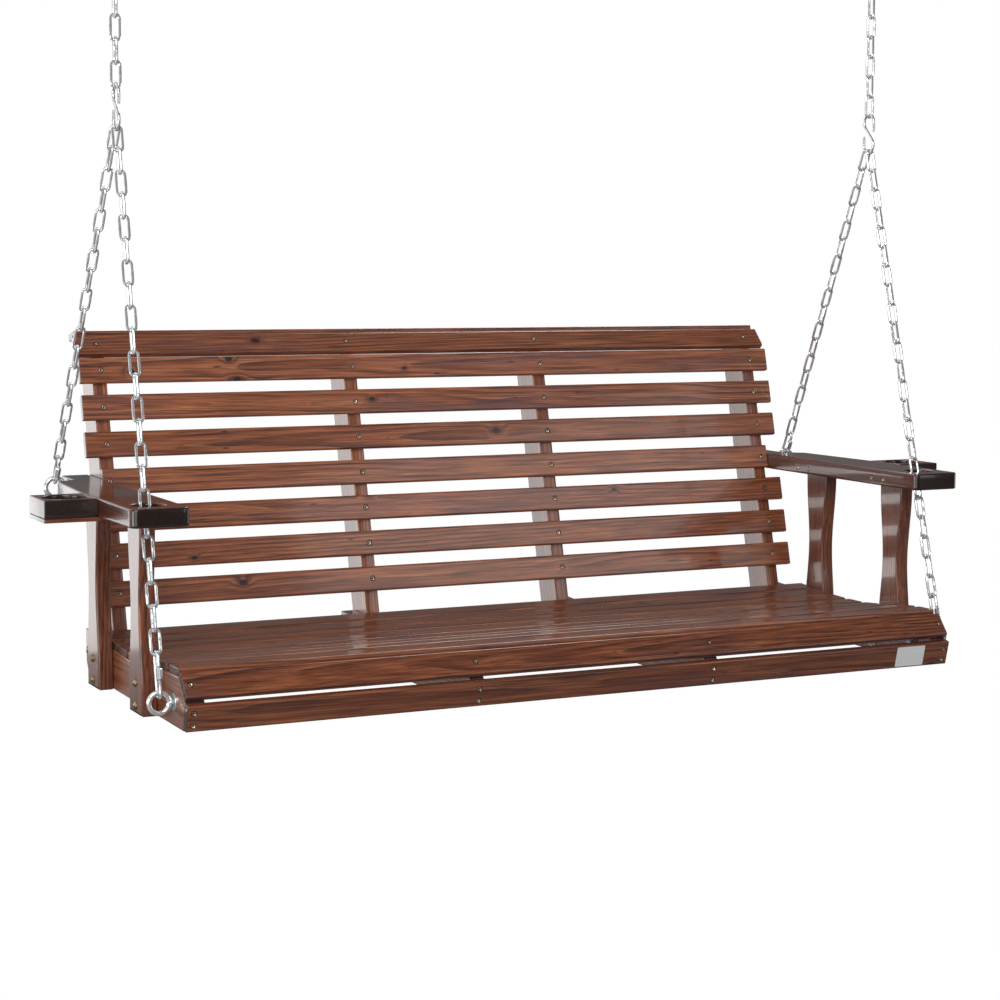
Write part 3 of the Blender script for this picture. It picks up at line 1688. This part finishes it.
@dataclass
class Studio:
    """White room: floor, world, softboxes and camera.

    The camera stands off from the bench's middle, at its lowest height and in line
    with the foot of the apron's outer face. Its angles are degrees to the right, down
    and of roll.
    """

    drop: float = 0.45
    spread: float = 6.0
    matt: Colour = (0.25, 0.25, 0.25, 1)
    white: Colour = (1, 1, 1, 1)
    dusk: Colour = (0.1, 0.1, 0.1, 1)
    ambient: float = 0.4
    aim: float = 0.35
    focal: float = 79.73
    sensor: float = 36
    apron_depth: float = 13.61 * MM
    stand: tuple[float, float, float] = (-1.85834, -3.41109, 0.75839)
    angles: tuple[float, float, float] = (25.992, 6.0163, -0.2596)
    lamps: tuple[Softbox, ...] = (
        Softbox("key", (-0.45, -0.75, 0.55), 4.5, 2.4, 97),
        Softbox("front", (-0.6, -0.8, 0.0), 4.0, 1.6, 16),
        Softbox("fill", (0.5, -0.85, 0.2), 4.5, 1.8, 16),
        Softbox("side", (-0.64, 0.77, -0.08), 12.0, 3.2, 90),
        Softbox("rear", (-0.375, 0.927, -0.1), 12.0, 6.0, 110),
        Softbox("top", (0.44, 0.55, 0.71), 3.2, 1.2, 28),
        Softbox("edge_left", (-0.93, -0.36, -0.02), 3.5, 1.2, 22),
        Softbox("edge_right", (0.97, 0.0, 0.0), 3.5, 1.2, 8),
    )

    def seen(self, w: Wiring) -> Socket:
        """One for what the camera sees, straight or through something clear."""
        ray = w.add("LightPath", {}).outputs
        return w.math("MAXIMUM", ray["Is Camera Ray"], ray["Is Transmission Ray"])

    def floor(self) -> None:
        """A pale floor below the bench, white to the camera and clear from below."""
        mesh = bpy.data.meshes.new("floor")
        level, half = CAD_BOX[0].z - self.drop, self.spread / 2
        corners = [(x * half, y * half, level) for x, y in ((-1, -1), (1, -1), (1, 1), (-1, 1))]
        mesh.from_pydata(corners, [], [(0, 1, 2, 3)])
        material, w = blank_material("floor_finish")
        matt = w.add("BsdfDiffuse", {"Color": self.matt}).outputs[0]
        white = w.add("Emission", {"Color": self.white, "Strength": 1.0}).outputs[0]
        top = w.add("MixShader", {0: self.seen(w), 1: matt, 2: white}).outputs[0]
        below = w.add("NewGeometry", {}).outputs["Backfacing"]
        clear = w.add("BsdfTransparent", {}).outputs[0]
        both_sides = w.add("MixShader", {0: below, 1: top, 2: clear}).outputs[0]
        w.add("OutputMaterial", {"Surface": both_sides})
        mesh.materials.append(material)
        floor = bpy.data.objects.new("floor", mesh)
        bpy.context.scene.collection.objects.link(floor)

    def world(self) -> None:
        """White to the camera; for gloss dusk in front, and white behind on the left."""
        world = bpy.data.worlds.new("studio")
        world.use_nodes = True
        w = Wiring(world.node_tree)
        way = w.add("SeparateXYZ", {0: w.add("TexCoord", {}).outputs["Generated"]}).outputs
        leftwards = w.ramp(way[0], -0.15, 0.3, 1.0, 0.13)
        behind = w.mix(w.ramp(way[1], -0.4, 0.5), self.dusk, leftwards)
        glossy, ambient, white = (
            w.add("Background", {"Color": colour, "Strength": strength}).outputs[0]
            for colour, strength in ((behind, 1.0), (self.white, self.ambient), (self.white, 1.0)))
        gloss = w.add("LightPath", {}).outputs["Is Glossy Ray"]
        inner = w.add("MixShader", {0: gloss, 1: ambient, 2: glossy}).outputs[0]
        outer = w.add("MixShader", {0: self.seen(w), 1: inner, 2: white}).outputs[0]
        w.add("OutputWorld", {"Surface": outer})
        bpy.context.scene.world = world

    def camera(self) -> None:
        """The camera in front of the bench's left end, turned to its right and down."""
        bench = Vector((0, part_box("apron")[1].y - self.apron_depth, CAD_BOX[0].z))
        lens = bpy.data.cameras.new("camera")
        lens.lens, lens.sensor_width = self.focal, self.sensor
        lens.clip_start, lens.clip_end = 0.05, 100
        camera = bpy.data.objects.new("camera", lens)
        yaw, pitch, roll = (math.radians(angle) for angle in self.angles)
        ahead = Vector((math.sin(yaw) * math.cos(pitch), math.cos(yaw) * math.cos(pitch),
                        -math.sin(pitch)))
        right = Vector((math.cos(yaw), -math.sin(yaw), 0))
        down = ahead.cross(right)
        right, down = (math.cos(roll) * right + math.sin(roll) * down,
                       math.cos(roll) * down - math.sin(roll) * right)
        camera.location = bench + Vector(self.stand)
        turn = Matrix((right, -down, -ahead)).transposed()
        camera.rotation_euler = turn.to_euler()
        bpy.context.scene.collection.objects.link(camera)
        bpy.context.scene.camera = camera

    def build(self) -> None:
        """Sets up the whole room."""
        self.floor()
        self.world()
        middle = (CAD_BOX[0] + CAD_BOX[1]) / 2
        target = Vector((middle.x, middle.y, CAD_BOX[0].z + self.aim))
        for lamp in self.lamps:
            lamp.build(target)
        self.camera()
        bpy.context.scene.view_settings.view_transform = "Standard"


# ---- the whole swing ---------------------------------------------------------


def both(name: str) -> list[str]:
    """A node's name for the left and for the right side."""
    return [f"{name}_left", f"{name}_right"]


def woodwork() -> None:
    """Builds boards, plates and the screws in them."""
    seat_screws, back_screws = Screws("seat_screws"), Screws("back_screws")
    arm_screws = Screws("arm_screws", length=45 * MM)
    base_screws = Screws("base_screws", head=3.4 * MM, rise=0.75 * MM, length=22 * MM)
    Slats([f"seat_slat_{k}" for k in range(1, 9)], seat_screws, turn=100, tone=0.84).build()
    Slats(["nose_board", "apron"], seat_screws, turn=108, tone=0.68).build()
    Slats([f"back_slat_{k}" for k in range(1, 8)], back_screws, turn=200, tone=1.03).build()
    Slats(["head_board", "cap_strip"], back_screws, turn=207, tone=0.76).build()

    four = ("left_outer", "left_inner", "right_inner", "right_outer")
    lean = board_place("back_slat_4")[0].axes[1]
    sideways, rearwards, upwards = np.eye(3)
    Plates([f"rail_{s}" for s in four], Lay.UPRIGHT, rearwards, turn=300).build()
    Plates([f"stile_{s}" for s in four], Lay.UPRIGHT, lean, turn=310).build()
    Plates(both("front_post") + both("back_post"), Lay.UPRIGHT, upwards, turn=320, tone=0.62,
           rim=4 * MM).build()
    Plates(both("arm"), Lay.LEVEL, rearwards, turn=330, tone=0.33, rim=3.5 * MM, corner=3 * MM,
           screws=arm_screws).build()
    Plates(both("cup_block"), Lay.LEVEL, rearwards, turn=340, tone=0.42, rim=2.5 * MM,
           corner=2 * MM).build()
    Plates(both("cup_base"), Lay.LEVEL, sideways, turn=350, tone=0.6, rim=1.2 * MM,
           corner=2 * MM).build()

    base_screws.set_from_below(cad_box("cup_base_left")[0][2])
    for screws in (seat_screws, back_screws, arm_screws, base_screws):
        screws.build()


def metalwork() -> None:
    """Builds the chains, the hooks and links between them, the eyes and the bolts."""
    strands = [both(f"{which}_chain") for which in ("hanging", "front", "rear")]
    Chain(sum(strands, both("top_link"))).build()
    SHooks(both("s_hook")).build()
    QuickLinks(both("quick_links")).build()
    BenchHardware(Eyes()).build()
    CeilingEyes(both("ceiling_eye"), Eyes()).build()


def main() -> None:
    """Builds the swing's woodwork, metalwork and label, then the studio."""
    logging.basicConfig(level=logging.INFO, format="%(name)s: %(message)s")
    woodwork()
    metalwork()
    Label().build()
    Studio().build()


if __name__ == "__main__":
    main()
